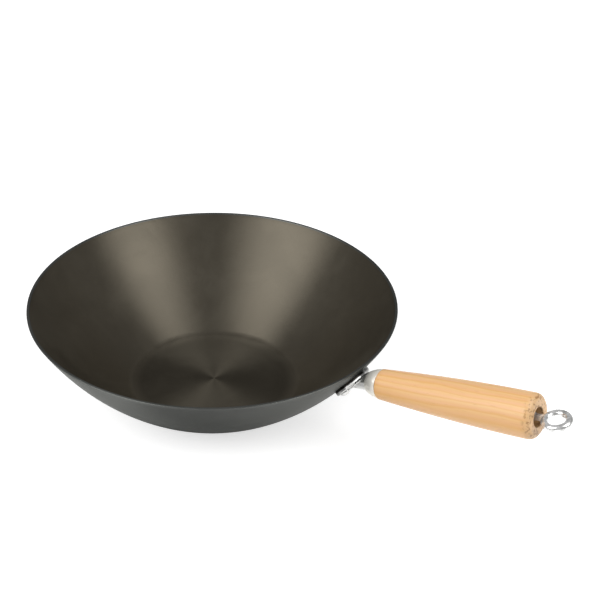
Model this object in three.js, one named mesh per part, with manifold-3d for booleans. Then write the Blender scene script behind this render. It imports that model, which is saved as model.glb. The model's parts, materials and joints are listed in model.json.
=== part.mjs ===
// A flat-based iron wok with a riveted handle bracket, a turned wooden grip, a plated ferrule
// and an eye bolt that runs through the grip, clamps it to the bracket and ends in a hanging loop.
// Millimetres, +Z up. The origin is the centre of the flat base, and the handle points along +X.
import * as THREE from "three";
import { mergeVertices } from "three/addons/utils/BufferGeometryUtils.js";
import Module from "manifold-3d";

const wasm = await Module();
wasm.setup();

// Clearances
const seatGap = 0.3; // between faces that bear on each other
const fitGap = 0.3; // around a piece in its hole, on the radius

// Bowl
const rimRadius = 178; // outside of the rim, a 14 inch wok
const bowlDepth = 95; // table to rim
const wallThickness = 2.5;
const wallFootRadius = 84; // where the outside of the wall would meet the table without its knuckle
const wallArcRadius = 254; // outside curve of the wall, seen in section
const knuckleRadius = 14; // outside bend between base and wall

// Handle placement
const axisBelowRim = 22; // drop from the rim to the point where the handle axis leaves the wall
const handleRise = THREE.MathUtils.degToRad(12.2);

// Bracket flange
const flangeThickness = 4.5;
const flangeMiddleRadius = 14; // round middle, under the neck
const flangeEarRadius = 8; // round ends, around the rivets
const flangeDrop = 3.5; // handle axis to the flange's middle, down the wall
const rivetSpacing = 30;

// Rivets
const rivetShankRadius = 2.5;
const rivetInnerHeadRadius = 5.5;
const rivetInnerHeadHeight = 1.8;
const rivetOuterHeadRadius = 5.2;
const rivetOuterHeadHeight = 3.2;

// Neck socket, welded to the flange
const neckRadius = 8.4;
const neckLength = 9.95; // flange face to the ferrule, along the axis
const weldRadius = 9.2; // foot of the weld around the neck
const weldLength = 4;
const spigotRadius = 4.6; // lines up the ferrule and the grip
const spigotLength = 9;

// Ferrule
const ferruleWall = 1;
const ferruleLength = 13.2;
const ferruleFrontRadius = 9.6;
const ferruleFrontBevel = 0.8;
const ferruleBend = 0.6; // where the bell turns into the skirt, as a share of the length

// Grip
const gripLength = 156; // behind the ferrule
const gripFrontRadius = 14;
const gripFullRadius = 20;
const gripFullAt = 143; // where the swelling reaches its full radius
const gripSwell = 0.58; // where the swelling bends, as a share of that stretch
const gripEndRound = 6;
const gripShoulderRound = 0.6;
const ferruleRebate = 0.5; // how far the grip stands proud of the ferrule's skirt

// Eye bolt and its washer
const rodRadius = 3;
const rodEngagement = 12; // thread length held by the socket
const rodTipBevel = 0.8;
const collarRadius = 4.8;
const collarThickness = 2.4;
const washerRadius = 7.5;
const washerThickness = 1.6;
const recessDepth = 9; // in the end of the grip, for washer and collar
const recessRadius = 8.6;
const loopWireRadius = 3.3;
const loopRadius = 10.3; // centre line of the loop
const loopReach = 16.7; // end of the grip to the loop's centre
const loopTurn = THREE.MathUtils.degToRad(8); // how far the loop's plane is turned about the handle axis

// Smoothness
const bowlSegments = 96;
const handleSegments = 36;
const smallSegments = 28;

// Materials
const seasonedIron = new THREE.MeshStandardMaterial({ color: 0x4a4740, roughness: 0.42, metalness: 0.8 });
const zincPlate = new THREE.MeshStandardMaterial({ color: 0xb9bab6, roughness: 0.32, metalness: 1 });
const chromePlate = new THREE.MeshStandardMaterial({ color: 0xd9dadb, roughness: 0.12, metalness: 1 });
const paleWood = new THREE.MeshStandardMaterial({ color: 0xe3b478, roughness: 0.5, metalness: 0 });

// Solids

function solidOf(geometry) {
  const bare = geometry.clone();
  bare.deleteAttribute("normal");
  bare.deleteAttribute("uv");
  const merged = mergeVertices(bare);
  const vertProperties = new Float32Array(merged.attributes.position.array);
  const triVerts = new Uint32Array(merged.index.array);
  return new wasm.Manifold(new wasm.Mesh({ numProp: 3, vertProperties, triVerts }));
}

function geometryOf(solid) {
  const mesh = solid.getMesh();
  const geometry = new THREE.BufferGeometry();
  geometry.setAttribute("position", new THREE.BufferAttribute(mesh.vertProperties, 3));
  geometry.setIndex(new THREE.BufferAttribute(mesh.triVerts, 1));
  return geometry;
}

// Profile points are (radius, height along the axis), from the low end round the outside to the high end.
function revolveAboutZ(profile, segments) {
  return new THREE.LatheGeometry(profile, segments).rotateX(Math.PI / 2);
}

function revolveAboutX(profile, segments) {
  return new THREE.LatheGeometry(profile, segments).rotateZ(-Math.PI / 2);
}

function rodAlongX(radius, from, to, segments) {
  const rod = new THREE.CylinderGeometry(radius, radius, to - from, segments);
  return rod.rotateZ(-Math.PI / 2).translate((from + to) / 2, 0, 0);
}

function point(radius, height) {
  return new THREE.Vector2(radius, height);
}

function arcPoints(centre, radius, fromAngle, toAngle, steps) {
  const points = [];
  for (let i = 0; i <= steps; i++) {
    const angle = fromAngle + ((toAngle - fromAngle) * i) / steps;
    points.push(point(centre.x + radius * Math.cos(angle), centre.y + radius * Math.sin(angle)));
  }
  return points;
}

function namedMesh(name, geometry, material) {
  const mesh = new THREE.Mesh(geometry, material);
  mesh.name = name;
  return mesh;
}

// The bowl's section: a wall arc from the foot to the rim, and a knuckle that turns it into the flat base.
// Every wall surface is an arc about the same centre, so the bracket's flange follows the wall.
const wallFoot = point(wallFootRadius, 0);
const wallTop = point(rimRadius, bowlDepth);
const wallChord = wallTop.clone().sub(wallFoot);
const chordToCentre = Math.sqrt(wallArcRadius ** 2 - wallChord.lengthSq() / 4);
const wallCentre = wallFoot
  .clone()
  .add(wallTop)
  .multiplyScalar(0.5)
  .add(point(-wallChord.y, wallChord.x).setLength(chordToCentre));
const knuckleAcross = Math.sqrt(
  (wallArcRadius - knuckleRadius) ** 2 - (knuckleRadius - wallCentre.y) ** 2,
);
const knuckleCentre = point(wallCentre.x + knuckleAcross, knuckleRadius);
const knuckleEndAngle = knuckleCentre.clone().sub(wallCentre).angle() - 2 * Math.PI;

function wallAngleAt(height, radius) {
  return Math.asin((height - wallCentre.y) / radius);
}

const knuckleSteps = 4;
const wallSteps = 8;

function wallSkin(inset) {
  const bend = arcPoints(knuckleCentre, knuckleRadius - inset, -Math.PI / 2, knuckleEndAngle, knuckleSteps);
  const wallRadius = wallArcRadius - inset;
  const wallEndAngle = wallAngleAt(bowlDepth, wallRadius);
  const wall = arcPoints(wallCentre, wallRadius, knuckleEndAngle, wallEndAngle, wallSteps);
  return [point(0, inset), ...bend, ...wall.slice(1)];
}

// The place where the handle leaves the wall, the flange's middle, and the wall's outward slope at each.
const bracketHeight = bowlDepth - axisBelowRim;
const bracketSlope = wallAngleAt(bracketHeight, wallArcRadius);
const flangeSlope = bracketSlope - flangeDrop / wallArcRadius;
const flangeMiddle = point(
  wallCentre.x + wallArcRadius * Math.cos(flangeSlope),
  wallCentre.y + wallArcRadius * Math.sin(flangeSlope),
);
const rivetSwing = rivetSpacing / 2 / flangeMiddle.x;

// Moves a geometry made about the X axis, with x = 0 on the wall's outside, to the wall's normal there.
function ontoWall(geometry, swing) {
  return geometry.rotateY(-flangeSlope).translate(flangeMiddle.x, 0, flangeMiddle.y).rotateZ(swing);
}

const rivetSwings = { rivet_left: rivetSwing, rivet_right: -rivetSwing };
const flangeInside = seatGap;
const flangeOutside = flangeInside + flangeThickness;

function rivetHoles(from, to) {
  return Object.values(rivetSwings).map((swing) =>
    solidOf(ontoWall(rodAlongX(rivetShankRadius + fitGap, from, to, smallSegments), swing)),
  );
}

function makeBowl() {
  const profile = [...wallSkin(0), ...wallSkin(wallThickness).reverse()];
  let bowl = solidOf(revolveAboutZ(profile, bowlSegments));
  for (const hole of rivetHoles(-2 * wallThickness, wallThickness)) bowl = bowl.subtract(hole);
  return namedMesh("wok_bowl", geometryOf(bowl), seasonedIron);
}

// A band that hugs the outside of the wall, between two distances from it.
function wallBand(inside, outside, halfHeight) {
  const low = flangeSlope - halfHeight / wallArcRadius;
  const high = flangeSlope + halfHeight / wallArcRadius;
  const outer = arcPoints(wallCentre, wallArcRadius + outside, low, high, wallSteps);
  const inner = arcPoints(wallCentre, wallArcRadius + inside, low, high, wallSteps);
  const profile = [...outer, ...inner.reverse(), outer[0].clone()];
  return solidOf(revolveAboutZ(profile, bowlSegments));
}

// Flange outline: two ears joined to a round middle by straight tangents.
function flangeOutline() {
  const half = rivetSpacing / 2;
  const lean = Math.acos((flangeMiddleRadius - flangeEarRadius) / half);
  const outline = new THREE.Shape();
  outline.absarc(half, 0, flangeEarRadius, -lean, lean, false);
  outline.absarc(0, 0, flangeMiddleRadius, lean, Math.PI - lean, false);
  outline.absarc(-half, 0, flangeEarRadius, Math.PI - lean, Math.PI + lean, false);
  outline.absarc(0, 0, flangeMiddleRadius, Math.PI + lean, 2 * Math.PI - lean, false);
  outline.closePath();
  return outline;
}

function makeFlange() {
  const sag = flangeOutside + rivetSpacing;
  const punch = { depth: 2 * sag, bevelEnabled: false, curveSegments: 10 };
  const blank = new THREE.ExtrudeGeometry(flangeOutline(), punch);
  const upright = blank.translate(0, 0, -sag).rotateX(Math.PI / 2).rotateZ(Math.PI / 2);
  const cutter = solidOf(ontoWall(upright, 0));
  let flange = wallBand(flangeInside, flangeOutside, 2 * flangeMiddleRadius).intersect(cutter);
  for (const hole of rivetHoles(-flangeOutside, 2 * flangeOutside)) flange = flange.subtract(hole);
  return namedMesh("bracket_flange", geometryOf(flange), zincPlate);
}

function domeProfile(radius, height, base, outward) {
  const ball = (radius ** 2 + height ** 2) / (2 * height);
  const spread = Math.asin(radius / ball);
  const steps = 5;
  const points = [];
  for (let i = 0; i <= steps; i++) {
    const angle = spread * (1 - i / steps);
    points.push(point(ball * Math.sin(angle), base + outward * (height - ball + ball * Math.cos(angle))));
  }
  return points;
}

function makeRivet(name, swing) {
  const innerSeat = -wallThickness - seatGap;
  const outerSeat = flangeOutside + seatGap;
  const profile = [
    ...domeProfile(rivetInnerHeadRadius, rivetInnerHeadHeight, innerSeat, -1).reverse(),
    point(rivetShankRadius, innerSeat),
    point(rivetShankRadius, outerSeat),
    ...domeProfile(rivetOuterHeadRadius, rivetOuterHeadHeight, outerSeat, 1),
  ];
  return namedMesh(name, ontoWall(revolveAboutX(profile, smallSegments), swing), zincPlate);
}

// Stations along the handle axis, from the point where it leaves the wall.
const handleOrigin = new THREE.Vector3(
  wallCentre.x + wallArcRadius * Math.cos(bracketSlope),
  0,
  bracketHeight,
);
const faceLean = handleRise - bracketSlope; // between the axis and the flange's normal
const faceOffset = flangeOutside / Math.cos(faceLean); // flange face, along the axis
const neckEnd = faceOffset + neckLength;
const ferruleFront = neckEnd + seatGap;
const gripStart = ferruleFront + ferruleLength + seatGap;
const gripEnd = gripStart + gripLength;
const recessFloor = gripEnd - recessDepth;
const washerBack = recessFloor + seatGap;
const collarBack = washerBack + washerThickness + seatGap;
const collarFront = collarBack + collarThickness;
const spigotEnd = neckEnd + spigotLength;
const rodTip = spigotEnd - rodEngagement;
const threadFloor = rodTip - seatGap;

function ontoHandle(geometry) {
  return geometry.rotateY(-handleRise).translate(handleOrigin.x, handleOrigin.y, handleOrigin.z);
}

// The foot runs into the flange all round, and is then trimmed to the flange's face.
function makeNeckSocket() {
  const footStart = faceOffset - weldRadius * Math.tan(faceLean) - flangeThickness;
  const profile = [
    point(0, footStart),
    point(weldRadius, footStart),
    point(weldRadius, faceOffset),
    point(neckRadius, faceOffset + weldLength),
    point(neckRadius, neckEnd),
    point(spigotRadius, neckEnd),
    point(spigotRadius, spigotEnd),
    point(rodRadius + fitGap, spigotEnd),
    point(rodRadius + fitGap, threadFloor),
    point(0, threadFloor),
  ];
  const socket = solidOf(ontoHandle(revolveAboutX(profile, handleSegments)));
  const wallSide = wallBand(2 * footStart - faceOffset, flangeOutside + seatGap, 2 * flangeMiddleRadius);
  return namedMesh("neck_socket", geometryOf(socket.subtract(wallSide)), zincPlate);
}

// The ferrule's bell: a short flat front, then a curve that opens to the skirt.
const ferruleSkirtRadius = gripFrontRadius - ferruleRebate;

function bellCurve(inset) {
  const frontRadius = ferruleFrontRadius - inset;
  const skirtRadius = ferruleSkirtRadius - inset;
  const start = ferruleFront + inset;
  const skirtEnd = ferruleFront + ferruleLength;
  const curve = new THREE.QuadraticBezierCurve(
    point(frontRadius, start),
    point(skirtRadius, start + (skirtEnd - start) * ferruleBend),
    point(skirtRadius, skirtEnd),
  );
  return curve.getPoints(8);
}

function makeFerrule() {
  const holeRadius = spigotRadius + fitGap;
  const profile = [
    point(holeRadius, ferruleFront),
    point(ferruleFrontRadius - ferruleFrontBevel, ferruleFront),
    ...bellCurve(0).slice(1),
    ...bellCurve(ferruleWall).reverse(),
    point(holeRadius, ferruleFront + ferruleWall),
    point(holeRadius, ferruleFront),
  ];
  return namedMesh("ferrule", ontoHandle(revolveAboutX(profile, handleSegments)), chromePlate);
}

function makeGrip() {
  const boreRadius = rodRadius + fitGap;
  const socketRadius = spigotRadius + fitGap;
  const socketFloor = spigotEnd + seatGap;
  const tenon = bellCurve(ferruleWall + fitGap);
  const swell = new THREE.QuadraticBezierCurve(
    point(gripFrontRadius, gripStart + gripShoulderRound),
    point(gripFullRadius, gripStart + gripSwell * gripFullAt),
    point(gripFullRadius, gripStart + gripFullAt),
  );
  const roundCentre = point(gripFullRadius - gripEndRound, gripEnd - gripEndRound);
  const profile = [
    point(boreRadius, socketFloor),
    point(socketRadius, socketFloor),
    point(socketRadius, tenon[0].y),
    ...tenon,
    point(tenon[tenon.length - 1].x, gripStart),
    point(gripFrontRadius - gripShoulderRound, gripStart),
    ...swell.getPoints(14),
    ...arcPoints(roundCentre, gripEndRound, 0, Math.PI / 2, 6),
    point(recessRadius, gripEnd),
    point(recessRadius, recessFloor),
    point(boreRadius, recessFloor),
    point(boreRadius, socketFloor),
  ];
  return namedMesh("grip", ontoHandle(revolveAboutX(profile, handleSegments)), paleWood);
}

function makeWasher() {
  const profile = [
    point(rodRadius + fitGap, washerBack),
    point(washerRadius, washerBack),
    point(washerRadius, washerBack + washerThickness),
    point(rodRadius + fitGap, washerBack + washerThickness),
    point(rodRadius + fitGap, washerBack),
  ];
  return namedMesh("end_washer", ontoHandle(revolveAboutX(profile, handleSegments)), zincPlate);
}

function makeEyeBolt() {
  const loopCentre = gripEnd + loopReach;
  const shaft = [
    point(0, rodTip),
    point(rodRadius - rodTipBevel, rodTip),
    point(rodRadius, rodTip + rodTipBevel),
    point(rodRadius, collarBack),
    point(collarRadius, collarBack),
    point(collarRadius, collarFront),
    point(loopWireRadius, collarFront + collarRadius - loopWireRadius),
    point(loopWireRadius, loopCentre - loopRadius),
    point(0, loopCentre - loopRadius),
  ];
  const loop = new THREE.TorusGeometry(loopRadius, loopWireRadius, 14, handleSegments);
  const bolt = solidOf(revolveAboutX(shaft, smallSegments)).add(solidOf(loop.translate(loopCentre, 0, 0)));
  return namedMesh("eye_bolt", ontoHandle(geometryOf(bolt).rotateX(loopTurn)), chromePlate);
}

const wok = new THREE.Group();
wok.name = "wok";
wok.add(makeBowl());
wok.add(makeFlange());
for (const [name, swing] of Object.entries(rivetSwings)) wok.add(makeRivet(name, swing));
wok.add(makeNeckSocket());
wok.add(makeFerrule());
wok.add(makeGrip());
wok.add(makeWasher());
wok.add(makeEyeBolt());

export default wok;
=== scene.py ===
import json
import math

import bmesh
import bpy
from mathutils import Matrix, Vector


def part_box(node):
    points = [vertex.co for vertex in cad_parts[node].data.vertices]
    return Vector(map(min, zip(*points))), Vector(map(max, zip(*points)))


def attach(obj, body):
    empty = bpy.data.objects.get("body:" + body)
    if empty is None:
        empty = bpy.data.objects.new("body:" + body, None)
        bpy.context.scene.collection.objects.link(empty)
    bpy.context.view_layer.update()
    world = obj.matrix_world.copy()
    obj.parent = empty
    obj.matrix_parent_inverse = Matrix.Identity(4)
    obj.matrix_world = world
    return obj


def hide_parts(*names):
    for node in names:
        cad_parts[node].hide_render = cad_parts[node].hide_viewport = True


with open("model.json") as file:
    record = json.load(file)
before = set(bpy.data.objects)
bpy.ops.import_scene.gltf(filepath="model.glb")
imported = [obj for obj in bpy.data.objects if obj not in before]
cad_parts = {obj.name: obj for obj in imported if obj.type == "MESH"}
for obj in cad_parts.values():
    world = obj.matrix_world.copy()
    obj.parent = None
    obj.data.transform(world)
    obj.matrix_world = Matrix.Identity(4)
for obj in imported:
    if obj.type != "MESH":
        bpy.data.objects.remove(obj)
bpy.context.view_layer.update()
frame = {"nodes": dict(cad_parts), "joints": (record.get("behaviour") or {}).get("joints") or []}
print("frame loaded with", len(frame["nodes"]), "nodes")

# The handle's own frame, from the joint that turns the eye bolt:
# x runs out along the grip, z is its upper side
turnJoint = next(joint for joint in frame["joints"] if joint["type"] == "hinge")
handleOrigin = Vector(turnJoint["pos_m"])
handleAxis = Vector(turnJoint["axis"]).normalized()
handleSide = Vector((0, 1, 0))
handleUp = handleAxis.cross(handleSide)
handleTurn = Matrix((handleAxis, handleSide, handleUp)).transposed()
handlePlace = Matrix.Translation(handleOrigin) @ handleTurn.to_4x4()
handleRise = math.atan2(handleAxis.z, handleAxis.x)
seatGap = 0.0003  # between faces that bear on each other, as in the CAD


def alongHandle(point):
    return (point - handleOrigin).dot(handleAxis)


def handleSpan(node):
    # first and last station of a round node on the handle, from its vertices
    stations = [alongHandle(vertex.co) for vertex in frame["nodes"][node].data.vertices]
    return min(stations), max(stations)


# Making meshes

def arcPoints(centre, radius, startAngle, endAngle, steps):
    points = []
    for i in range(steps + 1):
        angle = startAngle + (endAngle - startAngle) * i / steps
        points.append((centre[0] + radius * math.cos(angle), centre[1] + radius * math.sin(angle)))
    return points


def bendPoints(start, control, end, steps):
    points = []
    for i in range(steps + 1):
        t = i / steps
        weights = ((1 - t) ** 2, 2 * t * (1 - t), t * t)
        points.append(tuple(sum(w * p[k] for w, p in zip(weights, (start, control, end))) for k in (0, 1)))
    return points


def spinAboutZ(profile, steps, closed=False):
    points = [Vector((radius, 0, height)) for radius, height in profile]
    return spinVertices(points, (0, 0, 1), steps, closed)


def spinAboutX(profile, steps, closed=False):
    points = [Vector((station, 0, radius)) for station, radius in profile]
    return spinVertices(points, (1, 0, 0), steps, closed)


def spinVertices(points, axis, steps, closed):
    bm = bmesh.new()
    verts = [bm.verts.new(point) for point in points]
    edges = [bm.edges.new(pair) for pair in zip(verts, verts[1:])]
    if closed:
        edges.append(bm.edges.new((verts[-1], verts[0])))
    bmesh.ops.spin(
        bm, geom=verts + edges, cent=(0, 0, 0), axis=axis, dvec=(0, 0, 0),
        angle=2 * math.pi, steps=steps, use_merge=True)
    bmesh.ops.remove_doubles(bm, verts=bm.verts, dist=1e-6)
    bmesh.ops.recalc_face_normals(bm, faces=bm.faces)
    return bm


def addPiece(name, bm, material, body, nodes, sharpAngle=40):
    for face in bm.faces:
        face.smooth = True
    for edge in bm.edges:
        edge.smooth = edge.calc_face_angle(0) < math.radians(sharpAngle)
    mesh = bpy.data.meshes.new(name)
    bm.to_mesh(mesh)
    bm.free()
    mesh.materials.append(material)
    piece = bpy.data.objects.new(name, mesh)
    bpy.context.scene.collection.objects.link(piece)
    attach(piece, body)
    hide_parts(*nodes)
    print("made", name, len(mesh.polygons), "faces")
    return piece


# Making materials

def newMaterial(name):
    material = bpy.data.materials.new(name)
    material.use_nodes = True
    tree = material.node_tree
    shader = tree.nodes["Principled BSDF"]
    return material, tree, shader


def addNode(tree, kind, settings=None, inputs=None):
    node = tree.nodes.new(kind)
    for key, value in (settings or {}).items():
        setattr(node, key, value)
    for key, value in (inputs or {}).items():
        node.inputs[key].default_value = value
    return node


def ramp(tree, stops, fac):
    node = addNode(tree, "ShaderNodeValToRGB")
    elements = node.color_ramp.elements
    while len(elements) < len(stops):
        elements.new(0.5)
    for element, (place, colour) in zip(elements, stops):
        element.position = place
        element.color = (*colour, 1)
    tree.links.new(fac, node.inputs["Fac"])
    return node.outputs["Color"]


def mapRange(tree, value, fromLow, fromHigh, toLow, toHigh):
    node = addNode(tree, "ShaderNodeMapRange", {"interpolation_type": "SMOOTHSTEP"}, {
        "From Min": fromLow, "From Max": fromHigh, "To Min": toLow, "To Max": toHigh})
    tree.links.new(value, node.inputs["Value"])
    return node.outputs["Result"]


def math2(tree, operation, first, second):
    node = addNode(tree, "ShaderNodeMath", {"operation": operation})
    for socket, value in zip(node.inputs, (first, second)):
        if isinstance(value, (int, float)):
            socket.default_value = value
        else:
            tree.links.new(value, socket)
    return node.outputs["Value"]


def mixColour(tree, fac, first, second, blend="MIX"):
    node = addNode(tree, "ShaderNodeMix", {"data_type": "RGBA", "blend_type": blend})
    sockets = [node.inputs[key] for key in ("Factor", "A", "B")]
    for socket, value in zip(sockets, (fac, first, second)):
        if isinstance(value, (int, float)):
            socket.default_value = value
        elif isinstance(value, tuple):
            socket.default_value = (*value, 1)
        else:
            tree.links.new(value, socket)
    return node.outputs["Result"]


def objectPlace(tree, location=(0, 0, 0), rotation=(0, 0, 0), scale=(1, 1, 1)):
    coordinates = addNode(tree, "ShaderNodeTexCoord")
    mapping = addNode(tree, "ShaderNodeMapping", None, {
        "Location": location, "Rotation": rotation, "Scale": scale})
    tree.links.new(coordinates.outputs["Object"], mapping.inputs["Vector"])
    return mapping.outputs["Vector"]


def noise(tree, place, scale, detail=3, roughness=0.5, distortion=0):
    node = addNode(tree, "ShaderNodeTexNoise", None, {
        "Scale": scale, "Detail": detail, "Roughness": roughness, "Distortion": distortion})
    tree.links.new(place, node.inputs["Vector"])
    return node.outputs["Fac"]


def bump(tree, height, strength, distance):
    node = addNode(tree, "ShaderNodeBump", None, {"Strength": strength, "Distance": distance})
    tree.links.new(height, node.inputs["Height"])
    return node.outputs["Normal"]


def stretched(tree, place, scale):
    node = addNode(tree, "ShaderNodeVectorMath", {"operation": "MULTIPLY"}, {1: scale})
    tree.links.new(place, node.inputs[0])
    return node.outputs["Vector"]


# Handling marks: smudges and fine scratches that every metal surface shares
def makeHandlingGroup():
    group = bpy.data.node_groups.new("handlingMarks", "ShaderNodeTree")
    group.interface.new_socket("Place", in_out="INPUT", socket_type="NodeSocketVector")
    group.interface.new_socket("Smudge Scale", in_out="INPUT", socket_type="NodeSocketFloat")
    group.interface.new_socket("Scratch Scale", in_out="INPUT", socket_type="NodeSocketFloat")
    group.interface.new_socket("Smudge", in_out="OUTPUT", socket_type="NodeSocketFloat")
    group.interface.new_socket("Scratch", in_out="OUTPUT", socket_type="NodeSocketFloat")
    entry = group.nodes.new("NodeGroupInput")
    leave = group.nodes.new("NodeGroupOutput")
    smudge = addNode(group, "ShaderNodeTexNoise", None, {"Detail": 4, "Roughness": 0.6, "Distortion": 0.4})
    scratch = addNode(group, "ShaderNodeTexNoise", None, {"Detail": 2, "Roughness": 0.7, "Distortion": 1.5})
    group.links.new(entry.outputs["Place"], smudge.inputs["Vector"])
    group.links.new(entry.outputs["Smudge Scale"], smudge.inputs["Scale"])
    group.links.new(entry.outputs["Place"], scratch.inputs["Vector"])
    group.links.new(entry.outputs["Scratch Scale"], scratch.inputs["Scale"])
    group.links.new(mapRange(group, smudge.outputs["Fac"], 0.35, 0.7, 0, 1), leave.inputs["Smudge"])
    group.links.new(scratch.outputs["Fac"], leave.inputs["Scratch"])
    return group


handlingGroup = makeHandlingGroup()


def handlingMarks(tree, place, smudgeScale, scratchScale):
    node = addNode(tree, "ShaderNodeGroup", {"node_tree": handlingGroup}, {
        "Smudge Scale": smudgeScale, "Scratch Scale": scratchScale})
    tree.links.new(place, node.inputs["Place"])
    return node.outputs["Smudge"], node.outputs["Scratch"]


# Inside, the seasoning is warm and dark; outside, the metal is greyer
ironInside = {
    "dark": (0.112, 0.099, 0.076),
    "pale": (0.14, 0.125, 0.097),
    "metallic": 0.86,
    "edgeTint": (0.8, 0.76, 0.7, 1),
    "roughness": (0.42, 0.5),
    "baseEdge": (0.066, 0.084),
    "baseDulling": 0.36,
    # painted shade: how far the flat base's colour is darkened
    "baseShadeTint": (0.72, 0.72, 0.72),
    "anisotropy": 0.8,
}
ironOutside = {
    "dark": (0.092, 0.095, 0.09),
    "pale": (0.115, 0.118, 0.112),
    "metallic": 0.86,
    "edgeTint": (0.5, 0.5, 0.49, 1),
    "roughness": (0.4, 0.48),
    "baseEdge": (0.066, 0.084),
    "baseDulling": 0.1,
    # painted shade: how far the flat base's colour is darkened
    "baseShadeTint": (0.85, 0.85, 0.85),
    "anisotropy": 0.6,
}
turning = {"spacing": 0.0009, "strength": 0.1, "depth": 0.0004, "scratchShare": 0.35}
ironMarks = {"smudges": 14, "scratches": 260}


def axisRadius(tree, place):
    # distance from the bowl's upright axis, and the split place
    split = addNode(tree, "ShaderNodeSeparateXYZ")
    tree.links.new(place, split.inputs["Vector"])
    flat = addNode(tree, "ShaderNodeCombineXYZ")
    tree.links.new(split.outputs["X"], flat.inputs["X"])
    tree.links.new(split.outputs["Y"], flat.inputs["Y"])
    radius = addNode(tree, "ShaderNodeVectorMath", {"operation": "LENGTH"})
    tree.links.new(flat.outputs["Vector"], radius.inputs[0])
    return radius.outputs["Value"], split


def makeIron(name, look):
    material, tree, shader = newMaterial(name)
    place = objectPlace(tree)
    smudge, scratch = handlingMarks(tree, place, ironMarks["smudges"], ironMarks["scratches"])

    # turning lines: rings about the bowl's axis, counted along the section
    radius, split = axisRadius(tree, place)
    section = math2(tree, "ADD", radius, split.outputs["Z"])
    rings = addNode(tree, "ShaderNodeTexNoise", {"noise_dimensions": "1D"}, {
        "Scale": 1 / turning["spacing"], "Detail": 2, "Roughness": 0.6})
    tree.links.new(section, rings.inputs["W"])
    scratched = math2(tree, "MULTIPLY", scratch, turning["scratchShare"])
    height = math2(tree, "ADD", rings.outputs["Fac"], scratched)
    tree.links.new(bump(tree, height, turning["strength"], turning["depth"]), shader.inputs["Normal"])

    # the flat base is duller, and painted shade darkens its colour
    baseShadeAndDull = mapRange(tree, radius, *look["baseEdge"], 1, 0)
    colour = mixColour(tree, smudge, look["dark"], look["pale"])
    tree.links.new(mixColour(tree, baseShadeAndDull, colour, look["baseShadeTint"], "MULTIPLY"), shader.inputs["Base Color"])
    shine = mapRange(tree, smudge, 0, 1, *look["roughness"])
    dulling = math2(tree, "MULTIPLY", baseShadeAndDull, look["baseDulling"])
    tree.links.new(math2(tree, "ADD", shine, dulling), shader.inputs["Roughness"])

    # the lines run round the bowl, so a highlight is drawn out across them, from rim to base
    around = addNode(tree, "ShaderNodeVectorMath", {"operation": "CROSS_PRODUCT"}, {0: (0, 0, 1)})
    tree.links.new(place, around.inputs[1])
    tree.links.new(around.outputs["Vector"], shader.inputs["Tangent"])
    shader.inputs["Anisotropic"].default_value = look["anisotropy"]
    shader.inputs["Anisotropic Rotation"].default_value = 0.25
    shader.inputs["Metallic"].default_value = look["metallic"]
    shader.inputs["Specular Tint"].default_value = look["edgeTint"]
    return material


zincLook = {
    "bright": (0.52, 0.52, 0.51),
    "dull": (0.38, 0.38, 0.37),
    "roughness": (0.26, 0.42),
    "metallic": 1,
    "smudges": 90,
}
chromeLook = {
    "bright": (0.93, 0.93, 0.93),
    "dull": (0.45, 0.45, 0.44),
    "roughness": (0.08, 0.2),
    "metallic": 0.7,
    "smudges": 170,
}
nickelLook = {
    "bright": (0.9, 0.87, 0.8),
    "dull": (0.8, 0.77, 0.7),
    "roughness": (0.3, 0.42),
    "metallic": 0.55,
    "smudges": 70,
}
plateScratch = {"scale": 900, "strength": 0.04, "depth": 0.0003}
# Painted shade in the crevice where the flange meets the wall, by the distance from the wall's outside
creviceShade = {
    "colour": (0.012, 0.011, 0.01),
    "clean": 0.0033,
    "black": 0.002,
    "raggedScale": 400,
    "raggedDepth": 0.0006,
}


def makePlate(name, look, creviceShaded=False):
    material, tree, shader = newMaterial(name)
    place = objectPlace(tree)
    smudge, scratch = handlingMarks(tree, place, look["smudges"], plateScratch["scale"])
    colour = mixColour(tree, smudge, look["bright"], look["dull"])
    # painted shade darkens the plate's edge next to the wall
    if creviceShaded:
        colour = mixColour(tree, creviceShadeMask(tree, place), colour, creviceShade["colour"])
    tree.links.new(colour, shader.inputs["Base Color"])
    tree.links.new(mapRange(tree, smudge, 0, 1, *look["roughness"]), shader.inputs["Roughness"])
    marks = bump(tree, scratch, plateScratch["strength"], plateScratch["depth"])
    tree.links.new(marks, shader.inputs["Normal"])
    shader.inputs["Metallic"].default_value = look["metallic"]
    return material


def creviceShadeMask(tree, place):
    # painted crevice shade: how far a point lies outside the bowl's wall arc, set further down, with a ragged
    # edge
    radius, split = axisRadius(tree, place)
    across = math2(tree, "SUBTRACT", radius, wallCentre.x)
    above = math2(tree, "SUBTRACT", split.outputs["Z"], wallCentre.y)
    squares = math2(tree, "ADD", math2(tree, "POWER", across, 2), math2(tree, "POWER", above, 2))
    span = math2(tree, "SQRT", squares, 0)
    ragged = math2(tree, "MULTIPLY", noise(tree, place, creviceShade["raggedScale"]), creviceShade["raggedDepth"])
    distance = math2(tree, "ADD", math2(tree, "SUBTRACT", span, bowl["wallArc"]), ragged)
    return mapRange(tree, distance, creviceShade["black"], creviceShade["clean"], 1, 0)


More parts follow.
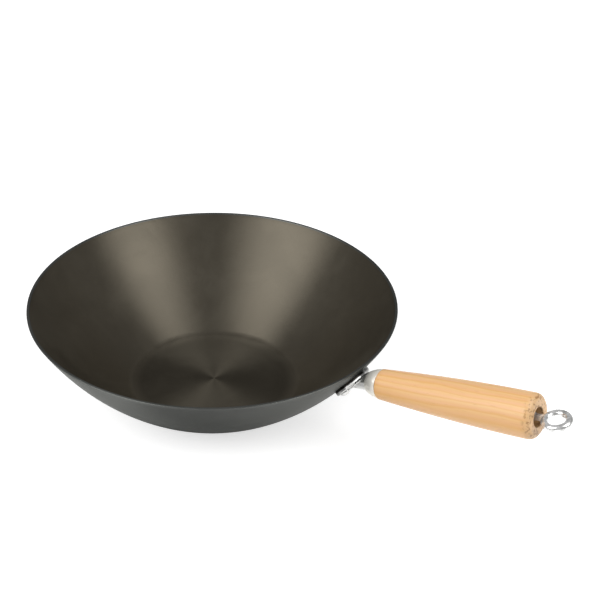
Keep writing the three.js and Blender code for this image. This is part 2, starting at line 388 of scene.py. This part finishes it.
woodLook = {
    "pale": (0.78, 0.49, 0.22),
    "golden": (0.72, 0.4, 0.14),
    "pink": (0.77, 0.44, 0.23),
    "pore": (0.55, 0.28, 0.1),
    "endTint": (0.62, 0.4, 0.2),
    "ringSpacing": 0.0055,
    "heart": (-0.02, 0.05, 0.075),  # the tree's middle, from the handle axis
    "endDepth": 0.008,
    "fleck": (0.26, 0.11, 0.02),  # open pores in the end grain
    "fleckScale": 330,
    # painted shade for the recess in the end
    "recessShadeColour": (0.075, 0.038, 0.013),
    "recessShadeShare": 0.38,
    "recessShadeFade": 0.0008,
    "paintedUnderShade": (0.66, 0.34, 0.095),  # painted shade: a deeper tone on the lower side, where less light falls
    "paintedUnderShadeSpan": (-0.012, 0.012),
    "paintedUnderShadeShare": 0.75,
    "endShare": 0.75,
    "waver": 0.008,  # how far the rings wander
    "waverStretch": (9, 55, 55),
    "streakStretch": (6, 260, 260),
    "poreStretch": (70, 1500, 1500),
    "ringTaper": 0.08,
    "roughness": (0.4, 0.56),
    "grainDepth": 0.0003,
    "grainStrength": 0.25,
    "coat": 0.25,
    "coatRoughness": 0.25,
}


def makeWood(endStation, recessRadius):
    material, tree, shader = newMaterial("paleWood")
    back = handleTurn.transposed()
    turn = back.to_euler("XYZ")
    # x is now the station on the handle
    place = objectPlace(tree, location=-(back @ handleOrigin), rotation=turn)

    waver = noise(tree, stretched(tree, place, woodLook["waverStretch"]), 1, 3, 0.55)
    fromHeart = addNode(tree, "ShaderNodeVectorMath", {"operation": "SUBTRACT"}, {1: woodLook["heart"]})
    tree.links.new(place, fromHeart.inputs[0])
    across = stretched(tree, fromHeart.outputs["Vector"], (woodLook["ringTaper"], 1, 1))
    distance = addNode(tree, "ShaderNodeVectorMath", {"operation": "LENGTH"})
    tree.links.new(across, distance.inputs[0])
    wander = math2(tree, "MULTIPLY", waver, woodLook["waver"])
    rings = math2(tree, "ADD", distance.outputs["Value"], wander)
    phase = math2(tree, "FRACT", math2(tree, "DIVIDE", rings, woodLook["ringSpacing"]), 0)
    grain = ramp(tree, [
        (0, woodLook["pale"]), (0.55, woodLook["pink"]),
        (0.86, woodLook["golden"]), (1, woodLook["pale"])], phase)

    streak = noise(tree, stretched(tree, place, woodLook["streakStretch"]), 1, 4, 0.6)
    grain = mixColour(tree, mapRange(tree, streak, 0.35, 0.75, 0, 0.45), grain, woodLook["golden"])
    pores = noise(tree, stretched(tree, place, woodLook["poreStretch"]), 1, 2, 0.5)
    poreMask = mapRange(tree, pores, 0.64, 0.74, 0, 0.5)
    grain = mixColour(tree, poreMask, grain, woodLook["pore"])

    split = addNode(tree, "ShaderNodeSeparateXYZ")
    tree.links.new(place, split.inputs["Vector"])
    # painted shade: the lower side of the grip is darkened as if in shadow
    underShadeMask = mapRange(tree, split.outputs["Z"], *woodLook["paintedUnderShadeSpan"], woodLook["paintedUnderShadeShare"], 0)
    grain = mixColour(tree, underShadeMask, grain, woodLook["paintedUnderShade"])
    endBegin = endStation - woodLook["endDepth"]
    endMask = mapRange(tree, split.outputs["X"], endBegin, endStation, 0, woodLook["endShare"])
    grain = mixColour(tree, endMask, grain, woodLook["endTint"])
    flecks = mapRange(tree, noise(tree, place, woodLook["fleckScale"], 2, 0.6), 0.5, 0.62, 0, 1)
    fleckMask = math2(tree, "MULTIPLY", flecks, endMask)
    grain = mixColour(tree, fleckMask, grain, woodLook["fleck"])

    # painted shade darkens the recess, right up to its edge
    fromAxis = addNode(tree, "ShaderNodeVectorMath", {"operation": "LENGTH"})
    tree.links.new(stretched(tree, place, (0, 1, 1)), fromAxis.inputs[0])
    recessShadeEnd = recessRadius + woodLook["recessShadeFade"]
    inRecessShade = mapRange(tree, fromAxis.outputs["Value"], recessRadius, recessShadeEnd, woodLook["recessShadeShare"], 0)
    tree.links.new(mixColour(tree, inRecessShade, grain, woodLook["recessShadeColour"]), shader.inputs["Base Color"])

    tree.links.new(mapRange(tree, streak, 0.2, 0.8, *woodLook["roughness"]), shader.inputs["Roughness"])
    height = math2(tree, "SUBTRACT", math2(tree, "MULTIPLY", streak, 0.4), poreMask)
    relief = bump(tree, height, woodLook["grainStrength"], woodLook["grainDepth"])
    tree.links.new(relief, shader.inputs["Normal"])
    shader.inputs["Coat Weight"].default_value = woodLook["coat"]
    shader.inputs["Coat Roughness"].default_value = woodLook["coatRoughness"]
    return material


zincPlate = makePlate("zincPlate", zincLook)
chromePlate = makePlate("chromePlate", chromeLook)
satinPlate = makePlate("satinPlate", nickelLook)

# Bowl: base, knuckle and bowed wall in one section, spun about the upright axis
bowl = {
    "wall": 0.0025,
    "footRadius": 0.084,  # where the wall's arc would meet the table
    "wallArc": 0.254,
    "knuckle": 0.014,
    "edgeRound": 0.0009,
    "steps": 224,
    "wallSteps": 40,
    "knuckleSteps": 10,
}
bowlLow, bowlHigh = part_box("wok_bowl")
rimRadius = (bowlHigh.y - bowlLow.y) / 2
rimHeight = bowlHigh.z
wallFoot = Vector((bowl["footRadius"], 0))
wallTop = Vector((rimRadius, rimHeight))
wallChord = wallTop - wallFoot
chordToCentre = math.sqrt(bowl["wallArc"] ** 2 - wallChord.length_squared / 4)
wallCentre = (wallFoot + wallTop) / 2 + Vector((-wallChord.y, wallChord.x)).normalized() * chordToCentre


def leanAt(height, radius):
    return math.asin((height - wallCentre.y) / radius)


def bowlSkin(inset, topCut):
    # from the base's middle out to the rim, on one side of the sheet
    knuckle = bowl["knuckle"]
    reach = bowl["wallArc"] - knuckle
    middle = Vector((wallCentre.x + math.sqrt(reach ** 2 - (knuckle - wallCentre.y) ** 2), knuckle))
    bendEnd = math.atan2(middle.y - wallCentre.y, middle.x - wallCentre.x)
    radius = bowl["wallArc"] - inset
    bend = arcPoints(middle, knuckle - inset, -math.pi / 2, bendEnd, bowl["knuckleSteps"])
    wall = arcPoints(wallCentre, radius, bendEnd, leanAt(rimHeight - topCut, radius), bowl["wallSteps"])
    return [(0, inset), (middle.x / 2, inset)] + bend + wall[1:]


def makeBowl():
    edge = bowl["edgeRound"]
    outer = bowlSkin(0, edge)
    inner = bowlSkin(bowl["wall"], edge)
    outTop, inTop = Vector(outer[-1]), Vector(inner[-1])
    lip = [(outTop.x - edge * 0.1, rimHeight - edge * 0.3), (outTop.x - edge * 0.55, rimHeight)]
    lip += [(inTop.x + edge * 0.75, rimHeight), (inTop.x + edge * 0.25, rimHeight - edge * 0.3)]
    bm = spinAboutZ(outer + lip + inner[::-1], bowl["steps"])
    inside = makeIron("ironInside", ironInside)
    piece = addPiece("wokBowl", bm, inside, "pan", ["wok_bowl"], 50)
    piece.data.materials.append(makeIron("ironOutside", ironOutside))
    for face in piece.data.polygons:
        trimmed = face.center.z > rimHeight - edge  # the bare edge is as grey as the outside
        face.material_index = 1 if trimmed or face.normal.z < 0 else 0
    return piece


makeBowl()

# Bracket flange: a plate cut to a long lozenge and wrapped on the wall
flange = {
    "thickness": 0.0045,
    "middleRadius": 0.014,
    "earRadius": 0.008,
    "drop": 0.0035,  # its middle, down the wall from the handle axis
    "rivetSpacing": 0.03,
    "edgeRound": 0.0014,
    "cells": (88, 36),
}
flangeOutside = seatGap + flange["thickness"]
bracketLean = math.atan2(handleOrigin.z - wallCentre.y, handleOrigin.x - wallCentre.x)
flangeLean = bracketLean - flange["drop"] / bowl["wallArc"]
flangeReach = wallCentre.x + bowl["wallArc"] * math.cos(flangeLean)  # from the bowl's axis
rivetSwing = flange["rivetSpacing"] / 2 / flangeReach


def onWall(across, upslope, offset):
    lean = flangeLean + upslope / bowl["wallArc"]
    radius = wallCentre.x + (bowl["wallArc"] + offset) * math.cos(lean)
    swing = across / flangeReach
    height = wallCentre.y + (bowl["wallArc"] + offset) * math.sin(lean)
    return Vector((radius * math.cos(swing), radius * math.sin(swing), height))


def flangeHalfHeight(across):
    # ears and middle are round, with straight tangents between them
    half = flange["rivetSpacing"] / 2
    ear, middle = flange["earRadius"], flange["middleRadius"]
    tangent = math.acos((middle - ear) / half)
    joinMiddle, joinEar = middle * math.cos(tangent), half + ear * math.cos(tangent)
    if across <= joinMiddle:
        return math.sqrt(middle ** 2 - across ** 2)
    if across >= joinEar:
        return math.sqrt(max(0, ear ** 2 - (across - half) ** 2))
    share = (across - joinMiddle) / (joinEar - joinMiddle)
    return math.sin(tangent) * (middle + (ear - middle) * share)


def makeFlange():
    reach = flange["rivetSpacing"] / 2 + flange["earRadius"]
    bm = bmesh.new()
    bmesh.ops.create_grid(bm, x_segments=flange["cells"][0], y_segments=flange["cells"][1], size=1)
    lower = bm.faces[:]
    raised = bmesh.ops.extrude_face_region(bm, geom=lower, use_keep_orig=True)
    upper = {item for item in raised["geom"] if isinstance(item, bmesh.types.BMVert)}
    soft = flange["edgeRound"]
    for vert in bm.verts:
        across = reach * math.sin(vert.co.x * math.pi / 2)  # cells crowd towards the edges
        half = flangeHalfHeight(abs(across))
        upslope = half * math.sin(vert.co.y * math.pi / 2)
        inEdge = min(soft, half - abs(upslope))
        crown = flange["thickness"] - soft + math.sqrt(max(0, soft ** 2 - (soft - inEdge) ** 2))
        vert.co = onWall(across, upslope, seatGap + (crown if vert in upper else 0))
    bmesh.ops.remove_doubles(bm, verts=bm.verts, dist=1e-6)
    bmesh.ops.recalc_face_normals(bm, faces=bm.faces)
    # the flange's zinc carries painted shade along the wall
    creviceShadedZinc = makePlate("creviceShadedZinc", zincLook, creviceShaded=True)
    return addPiece("bracketFlange", bm, creviceShadedZinc, "pan", ["bracket_flange"], 50)


makeFlange()

# Rivets: a domed head on each side of flange and wall
rivet = {
    "shankRadius": 0.0025,
    "innerHead": (0.0055, 0.0018),  # radius, height
    "outerHead": (0.0052, 0.0032),
    "brim": 0.0004,
    "domeSteps": 8,
    "steps": 48,
}


def headDome(radius, height, base, outward):
    # from the brim to the crown, with a short upright brim
    rise = height - rivet["brim"]
    ball = (radius ** 2 + rise ** 2) / (2 * rise)
    spread = math.asin(radius / ball)
    dome = [(base, radius)]
    for i in range(rivet["domeSteps"] + 1):
        angle = spread * (1 - i / rivet["domeSteps"])
        station = rivet["brim"] + rise - ball + ball * math.cos(angle)
        dome.append((base + outward * station, ball * math.sin(angle)))
    return dome


def makeRivet(name, node, swing):
    innerSeat = -bowl["wall"] - seatGap
    outerSeat = flangeOutside + seatGap
    profile = headDome(*rivet["innerHead"], innerSeat, -1)[::-1]
    profile += [(innerSeat, rivet["shankRadius"]), (outerSeat, rivet["shankRadius"])]
    profile += headDome(*rivet["outerHead"], outerSeat, 1)
    bm = spinAboutX(profile, rivet["steps"])
    wallAt = onWall(0, 0, 0)
    square = Matrix.Translation(wallAt) @ Matrix.Rotation(-flangeLean, 4, "Y")
    place = Matrix.Rotation(swing, 4, "Z") @ square
    bmesh.ops.transform(bm, matrix=place, verts=bm.verts)
    return addPiece(name, bm, zincPlate, "pan", [node])


makeRivet("rivetLeft", "rivet_left", rivetSwing)
makeRivet("rivetRight", "rivet_right", -rivetSwing)

# Neck: a stub tube that meets the flange at a slant, with a weld bead round its foot
neck = {
    "radius": 0.0084,
    "spigotRadius": 0.0046,
    "spigotLength": 0.009,
    "boreRadius": 0.0033,
    "beadRadius": 0.0018,
    "beadSpread": 0.0002,  # the bead's middle, outside the tube
    "beadFade": (0.003, 0.0062),  # heights over the axis between which the bead runs out
    "beadLeast": 0.1,
    "beadSegments": 16,
    "rippleDepth": 0.00016,
    "rippleCount": 30,
    "rippleSteps": 8,
    "footSink": 0.001,  # into the flange
    "edge": 0.0006,
    "steps": 64,
}
slant = handleRise - bracketLean
faceStation = flangeOutside / math.cos(slant)
slantRate = math.tan(slant)  # how far the flange's face moves out along the axis for each step up


def leanOntoFlange(verts):
    for vert in verts:
        vert.co.x += slantRate * vert.co.z


def makeNeck():
    spigotEnd = handleSpan("neck_socket")[1]
    neckEnd = spigotEnd - neck["spigotLength"]
    edge = neck["edge"]
    footStation = faceStation - neck["footSink"]
    profile = [
        (footStation, neck["boreRadius"]), (footStation, neck["radius"]),
        (neckEnd - edge, neck["radius"]), (neckEnd, neck["radius"] - edge),
        (neckEnd, neck["spigotRadius"]), (spigotEnd, neck["spigotRadius"]), (spigotEnd, neck["boreRadius"])]
    bm = spinAboutX(profile, neck["steps"], closed=True)
    foot = [vert for vert in bm.verts if vert.co.x < faceStation]
    leanOntoFlange(foot)
    bmesh.ops.transform(bm, matrix=handlePlace, verts=bm.verts)
    addPiece("neckSocket", bm, zincPlate, "pan", ["neck_socket"])


def makeWeld():
    middle = neck["radius"] + neck["beadSpread"]
    ring = arcPoints((faceStation, middle), neck["beadRadius"], 0, 2 * math.pi, neck["beadSegments"])[:-1]
    bm = spinAboutX(ring, neck["rippleCount"] * neck["rippleSteps"], closed=True)
    for vert in bm.verts:
        around = math.atan2(vert.co.y, vert.co.z)
        centre = Vector((faceStation, middle * math.sin(around), middle * math.cos(around)))
        ripple = abs(math.sin(around * neck["rippleCount"] / 2)) * neck["rippleDepth"]
        low, high = neck["beadFade"]
        left = min(1, max(0, (high - centre.z) / (high - low)))
        outward = vert.co - centre
        least = neck["beadLeast"]
        fade = least + (1 - least) * left
        vert.co = centre + outward * fade * (1 - ripple / neck["beadRadius"] * 2)
    leanOntoFlange(bm.verts)
    bmesh.ops.transform(bm, matrix=handlePlace, verts=bm.verts)
    addPiece("neckWeld", bm, zincPlate, "pan", ["neck_socket"], 60)


makeNeck()
makeWeld()

# Ferrule: a bell of plated sheet with a rolled skirt
ferrule = {
    "wall": 0.001,
    "frontRadius": 0.0096,
    "frontBevel": 0.0008,
    "skirtRadius": 0.0135,
    "bend": 0.6,
    "skirtRoll": 0.0005,
    "steps": 96,
}


def bell(inset, start, end):
    control = (start + inset + (end - start - inset) * ferrule["bend"], ferrule["skirtRadius"] - inset)
    return bendPoints(
        (start + inset, ferrule["frontRadius"] - inset), control, (end, ferrule["skirtRadius"] - inset), 20)


def makeFerrule():
    start, end = handleSpan("ferrule")
    hole = neck["spigotRadius"] + seatGap
    roll = ferrule["skirtRoll"]
    outer = bell(0, start, end - 2 * roll)
    rollMiddle = (end - roll, ferrule["skirtRadius"] - roll * 0.4)
    rolled = arcPoints(rollMiddle, roll, math.pi * 0.75, -math.pi / 2, 8)
    inner = bell(ferrule["wall"], start, end - 2 * roll)
    profile = [(start, hole), (start, ferrule["frontRadius"] - ferrule["frontBevel"])]
    profile += outer[1:] + rolled + inner[::-1] + [(start + ferrule["wall"], hole)]
    bm = spinAboutX(profile, ferrule["steps"], closed=True)
    bmesh.ops.transform(bm, matrix=handlePlace, verts=bm.verts)
    addPiece("handleFerrule", bm, satinPlate, "pan", ["ferrule"])


makeFerrule()

# Grip: turned wood that swells towards its end, recessed for the washer
grip = {
    "frontRadius": 0.014,
    "fullRadius": 0.02,
    "fullAt": 0.143,
    "swell": 0.58,
    "endRound": 0.006,
    "shoulderRound": 0.0006,
    "recessRadius": 0.0086,
    "recessDepth": 0.009,
    "recessEdge": 0.0006,
    "tenonLength": 0.006,
    "boreRadius": 0.0033,
    "steps": 112,
}
gripStart = handleSpan("ferrule")[1] + seatGap
gripEnd = handleSpan("grip")[1]


def makeGrip():
    shoulder = grip["shoulderRound"]
    edge = grip["recessEdge"]
    full, front = grip["fullRadius"], grip["frontRadius"]
    tenon = ferrule["skirtRadius"] - ferrule["wall"] - seatGap
    tenonStart = gripStart - grip["tenonLength"]
    swell = bendPoints(
        (gripStart + shoulder, front), (gripStart + grip["swell"] * grip["fullAt"], full),
        (gripStart + grip["fullAt"], full), 40)
    corner = grip["endRound"]
    endRound = arcPoints((gripEnd - corner, full - corner), corner, math.pi / 2, 0, 14)
    floor = gripEnd - grip["recessDepth"]
    profile = [(tenonStart, grip["boreRadius"]), (tenonStart, tenon), (gripStart, tenon)]
    profile += [(gripStart, front - shoulder), (gripStart + shoulder * 0.3, front - shoulder * 0.3)]
    profile += swell + endRound
    profile += [(gripEnd, grip["recessRadius"] + edge), (gripEnd - edge, grip["recessRadius"])]
    profile += [(floor, grip["recessRadius"]), (floor, grip["boreRadius"])]
    bm = spinAboutX(profile, grip["steps"], closed=True)
    bmesh.ops.transform(bm, matrix=handlePlace, verts=bm.verts)
    addPiece("woodGrip", bm, makeWood(gripEnd, grip["recessRadius"]), "pan", ["grip"], 35)


makeGrip()

# Washer at the bottom of the recess
washer = {"radius": 0.0075, "hole": 0.0033, "edge": 0.0003, "steps": 64}


def makeWasher():
    start, end = handleSpan("end_washer")
    edge, radius, hole = washer["edge"], washer["radius"], washer["hole"]
    profile = [
        (start, hole + edge), (start, radius - edge), (start + edge, radius), (end - edge, radius),
        (end, radius - edge), (end, hole + edge), (end - edge, hole), (start + edge, hole)]
    bm = spinAboutX(profile, washer["steps"], closed=True)
    bmesh.ops.transform(bm, matrix=handlePlace, verts=bm.verts)
    addPiece("endWasher", bm, zincPlate, "washer", ["end_washer"], 60)


makeWasher()

# Eye bolt: rod, collar, neck and a round loop whose plane is turned about the handle
eye = {
    "rodRadius": 0.003,
    "tipBevel": 0.0008,
    "collarRadius": 0.0048,
    "collarThickness": 0.0024,
    "collarEdge": 0.0004,
    "wireRadius": 0.0033,
    "loopRadius": 0.0103,
    "loopTurn": math.radians(8),
    "rodSink": 0.0002,  # of the rod into the collar
    "filletStart": 0.0002,  # stations of the fillet from the collar to the wire
    "filletBend": 0.0006,
    "filletEnd": 0.0035,
    "filletRise": 0.0008,
    "wireSegments": 20,
    "loopSteps": 72,
    "steps": 48,
}


def makeEyeBolt():
    tip, end = handleSpan("eye_bolt")
    wire, loop = eye["wireRadius"], eye["loopRadius"]
    loopCentre = end - wire - loop
    collarBack = handleSpan("end_washer")[1] + seatGap
    collarFront = collarBack + eye["collarThickness"]
    bevel, edge = eye["tipBevel"], eye["collarEdge"]
    rodEnd = collarBack + eye["rodSink"]
    rod = [
        (tip, 0), (tip, eye["rodRadius"] - bevel), (tip + bevel, eye["rodRadius"]),
        (rodEnd, eye["rodRadius"]), (rodEnd, 0)]
    bm = spinAboutX(rod, eye["steps"])
    bmesh.ops.transform(bm, matrix=handlePlace, verts=bm.verts)
    addPiece("eyeBoltRod", bm, chromePlate, "eye_bolt", ["eye_bolt"])

    shank = [
        (collarBack, 0), (collarBack, eye["collarRadius"] - edge), (collarBack + edge, eye["collarRadius"]),
        (collarFront - edge, eye["collarRadius"]), (collarFront, eye["collarRadius"] - edge)]
    shank += bendPoints(
        (collarFront + eye["filletStart"], wire + eye["filletRise"]),
        (collarFront + eye["filletBend"], wire), (collarFront + eye["filletEnd"], wire), 8)
    shank += [(loopCentre - loop, wire), (loopCentre - loop, 0)]
    bm = spinAboutX(shank, eye["steps"])
    ring = bmesh.new()
    section = bmesh.ops.create_circle(ring, segments=eye["wireSegments"], radius=wire)["verts"]
    bmesh.ops.rotate(ring, verts=section, cent=(0, 0, 0), matrix=Matrix.Rotation(math.pi / 2, 3, "X"))
    bmesh.ops.translate(ring, verts=section, vec=(loop, 0, 0))
    bmesh.ops.spin(
        ring, geom=ring.verts[:] + ring.edges[:], cent=(0, 0, 0), axis=(0, 0, 1), dvec=(0, 0, 0),
        angle=2 * math.pi, steps=eye["loopSteps"], use_merge=True)
    bmesh.ops.recalc_face_normals(ring, faces=ring.faces)
    bmesh.ops.translate(ring, verts=ring.verts, vec=(loopCentre, 0, 0))
    ringMesh = bpy.data.meshes.new("loopRing")
    ring.to_mesh(ringMesh)
    ring.free()
    bm.from_mesh(ringMesh)
    bpy.data.meshes.remove(ringMesh)
    bmesh.ops.rotate(bm, verts=bm.verts, cent=(0, 0, 0), matrix=Matrix.Rotation(eye["loopTurn"], 3, "X"))
    bmesh.ops.transform(bm, matrix=handlePlace, verts=bm.verts)
    addPiece("eyeLoop", bm, chromePlate, "eye_bolt", ["eye_bolt"])


makeEyeBolt()

# Camera: the photograph's angle, with the rim's centre where the photograph has it
view = {
    "azimuth": math.radians(34.8),
    "elevation": math.radians(31.758),
    "distance": 1.3,  # to the middle of the rim
    "rimOffset": (-0.0832, -0.002),  # the middle of the rim in the picture, right and up from its centre
    "roll": 0.031,
    "focalPixels": 1349.2,
    "imagePixels": 600,
    "sensorWidth": 36,
    "clipStart": 0.05,
}


def makeCamera():
    azimuth, elevation = view["azimuth"], view["elevation"]
    back = Vector((
        math.sin(azimuth) * math.cos(elevation),
        -math.cos(azimuth) * math.cos(elevation),
        math.sin(elevation)))
    right = Vector((math.cos(azimuth), math.sin(azimuth), 0))
    up = back.cross(right)
    offset = view["rimOffset"]
    rimCentre = Vector((0, 0, rimHeight))
    place = rimCentre + back * view["distance"] - right * offset[0] - up * offset[1]
    cosRoll, sinRoll = math.cos(view["roll"]), math.sin(view["roll"])
    rolledRight = right * cosRoll + up * sinRoll
    rolledUp = up * cosRoll - right * sinRoll
    data = bpy.data.cameras.new("photoCamera")
    data.sensor_width = view["sensorWidth"]
    data.lens = data.sensor_width * view["focalPixels"] / view["imagePixels"]
    data.clip_start = view["clipStart"]
    camera = bpy.data.objects.new("photoCamera", data)
    turn = Matrix((rolledRight, rolledUp, back)).transposed()
    camera.matrix_world = Matrix.Translation(place) @ turn.to_4x4()
    bpy.context.scene.collection.objects.link(camera)
    bpy.context.scene.camera = camera


makeCamera()

# Studio: a pale floor, a grey surround and two tall softboxes, one each side of the camera
studio = {
    "floorSide": 60,
    "floorDrop": 0.0002,  # keeps the floor's face off the wok's base
    "floorColour": (0.76, 0.76, 0.76),
    "floorSeen": (0.62, 1),  # glow for the camera alone, near the object and far from it
    "floorNear": (0.5, 1.8),
    "paintedReflectionGlow": (0.03, 1),  # painted reflection: glow for mirrors alone, dim in front of the object and bright to its sides, so the bowl's outside mirrors a dark middle
    "paintedReflectionSides": (0.03, 0.15),
    "floorTone": (0.985, 1),
    "floorRoughness": 0.75,
    "floorSpecular": 0.2,
    "ambient": 0.3,
    "aim": (0, 0, 0.06),
    "lamps": {
        # bearing is to the right of the camera
        "leftSoftbox": {"bearing": -54, "elevation": 42, "distance": 1.5, "size": (1.25, 1.2), "power": 19},
        "rightSoftbox": {"bearing": 64, "elevation": 42, "distance": 1.5, "size": (0.85, 1.2), "power": 12.5},
    },
}


def fromCamera(bearing, elevation):
    # a direction given from the camera's own bearing
    azimuth = view["azimuth"] + math.radians(bearing)
    rise = math.radians(elevation)
    return Vector((math.sin(azimuth) * math.cos(rise), -math.cos(azimuth) * math.cos(rise), math.sin(rise)))


def makeFloor():
    bm = bmesh.new()
    bmesh.ops.create_grid(bm, x_segments=1, y_segments=1, size=studio["floorSide"] / 2)
    bmesh.ops.translate(bm, verts=bm.verts, vec=(0, 0, -studio["floorDrop"]))
    mesh = bpy.data.meshes.new("floor")
    bm.to_mesh(mesh)
    bm.free()
    material, tree, shader = newMaterial("paleFloor")
    place = objectPlace(tree)
    tone = mapRange(tree, noise(tree, place, 3, 2), 0.3, 0.7, *studio["floorTone"])
    shade = mixColour(tree, tone, (0, 0, 0), studio["floorColour"])
    tree.links.new(shade, shader.inputs["Base Color"])
    shader.inputs["Emission Color"].default_value = (1, 1, 1, 1)
    path = addNode(tree, "ShaderNodeLightPath")
    away = addNode(tree, "ShaderNodeVectorMath", {"operation": "LENGTH"})
    tree.links.new(place, away.inputs[0])
    glow = mapRange(tree, away.outputs["Value"], *studio["floorNear"], *studio["floorSeen"])
    seen = math2(tree, "MULTIPLY", path.outputs["Is Camera Ray"], glow)
    turned = addNode(tree, "ShaderNodeSeparateXYZ")
    tree.links.new(objectPlace(tree, rotation=(0, 0, -view["azimuth"])), turned.inputs["Vector"])
    # painted reflection: a glow only mirrors see, dim in front of the object, to give the bowl's outside its
    # dark middle
    aside = math2(tree, "ABSOLUTE", turned.outputs["X"], 0)
    mirrored = math2(tree, "ADD", path.outputs["Is Glossy Ray"], path.outputs["Is Transmission Ray"])
    paintedReflectionShape = mapRange(tree, aside, *studio["paintedReflectionSides"], *studio["paintedReflectionGlow"])
    mirrored = math2(tree, "MULTIPLY", mirrored, paintedReflectionShape)
    tree.links.new(math2(tree, "ADD", seen, mirrored), shader.inputs["Emission Strength"])
    shader.inputs["Roughness"].default_value = studio["floorRoughness"]
    shader.inputs["Specular IOR Level"].default_value = studio["floorSpecular"]
    mesh.materials.append(material)
    floor = bpy.data.objects.new("floor", mesh)
    bpy.context.scene.collection.objects.link(floor)


def makeWorld():
    world = bpy.data.worlds.new("studio")
    world.use_nodes = True
    tree = world.node_tree
    background = tree.nodes["Background"]
    background.inputs["Color"].default_value = (1, 1, 1, 1)
    background.inputs["Strength"].default_value = studio["ambient"]
    bpy.context.scene.world = world


def makeLamps():
    for name, lamp in studio["lamps"].items():
        data = bpy.data.lights.new(name, "AREA")
        data.shape = "RECTANGLE"
        data.size, data.size_y = lamp["size"]
        data.energy = lamp["power"]
        light = bpy.data.objects.new(name, data)
        outward = fromCamera(lamp["bearing"], lamp["elevation"])
        light.location = Vector(studio["aim"]) + outward * lamp["distance"]
        light.rotation_euler = (-outward).to_track_quat("-Z", "Y").to_euler()
        bpy.context.scene.collection.objects.link(light)


makeFloor()
makeWorld()
makeLamps()
bpy.context.scene.view_settings.view_transform = "Standard"
